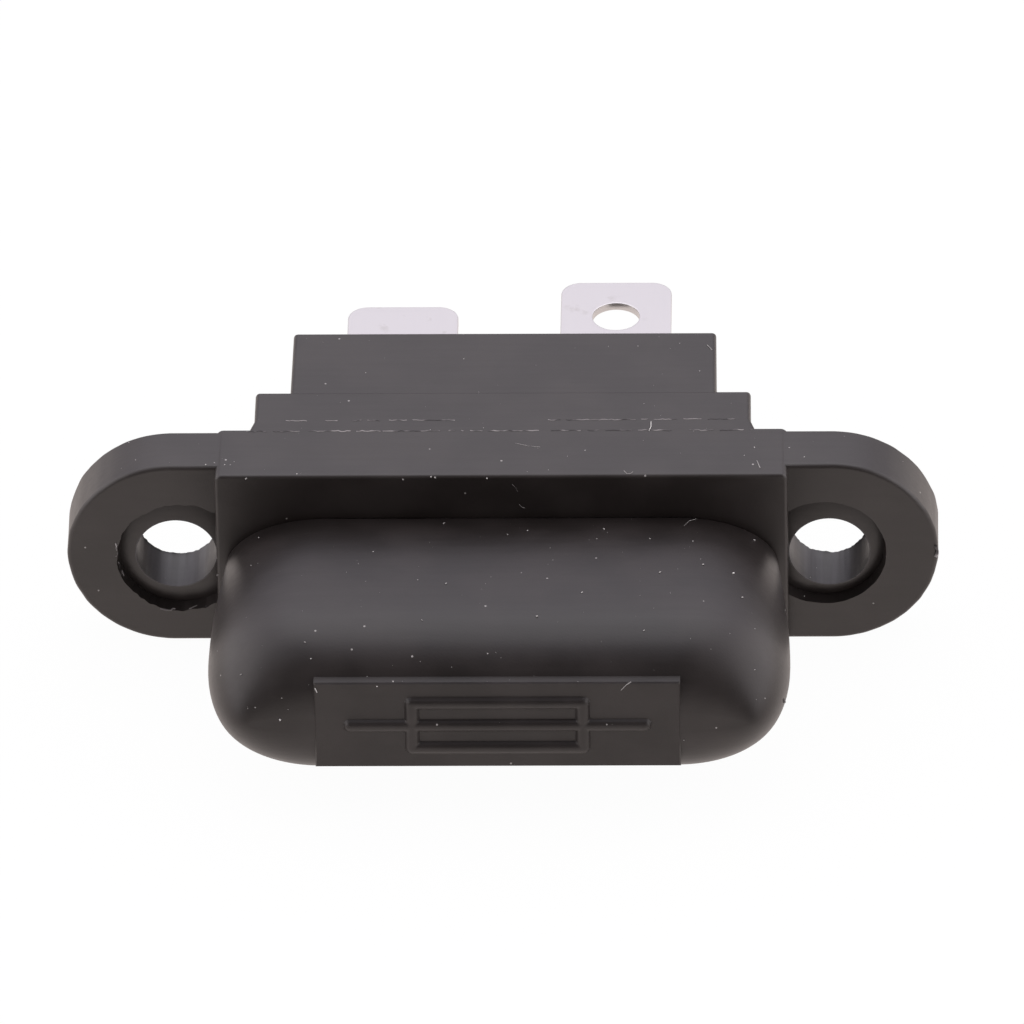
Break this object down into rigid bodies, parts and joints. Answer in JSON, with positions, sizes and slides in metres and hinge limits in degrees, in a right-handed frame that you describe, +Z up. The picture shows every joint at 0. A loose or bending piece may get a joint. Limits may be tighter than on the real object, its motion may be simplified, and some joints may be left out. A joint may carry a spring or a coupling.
{
  "type": "blade fuse holder",
  "caption": "Panel-mount holder for a blade fuse: moulded body with two screw ears and flat rear tabs, and a pillow-shaped pull-off cap.",
  "frame": {"origin": "middle of the bounding box, on the surface that the holder lies on", "axes": "+X from the left ear to the right ear as seen from the cap, +Y along the fuse from the cap to the tabs, +Z up"},
  "size_m": [0.0486, 0.0414, 0.012],
  "materials": {
    "body_moulding": "black moulding with a fine satin grain",
    "cap_moulding": "black moulding, soft satin",
    "tinned_strip": "tin plated, bright silver grey"
  },
  "bodies": {
    "holder": {"holder_body": "body_moulding", "contact_right": "tinned_strip", "contact_left": "tinned_strip"},
    "cap": {"fuse_cap": "cap_moulding"}
  },
  "joints": [
    {"name": "cap_pull", "type": "slide", "parent": "holder", "child": "cap", "axis": [0, -1, 0], "range_m": [0, 0.02]}
  ]
}
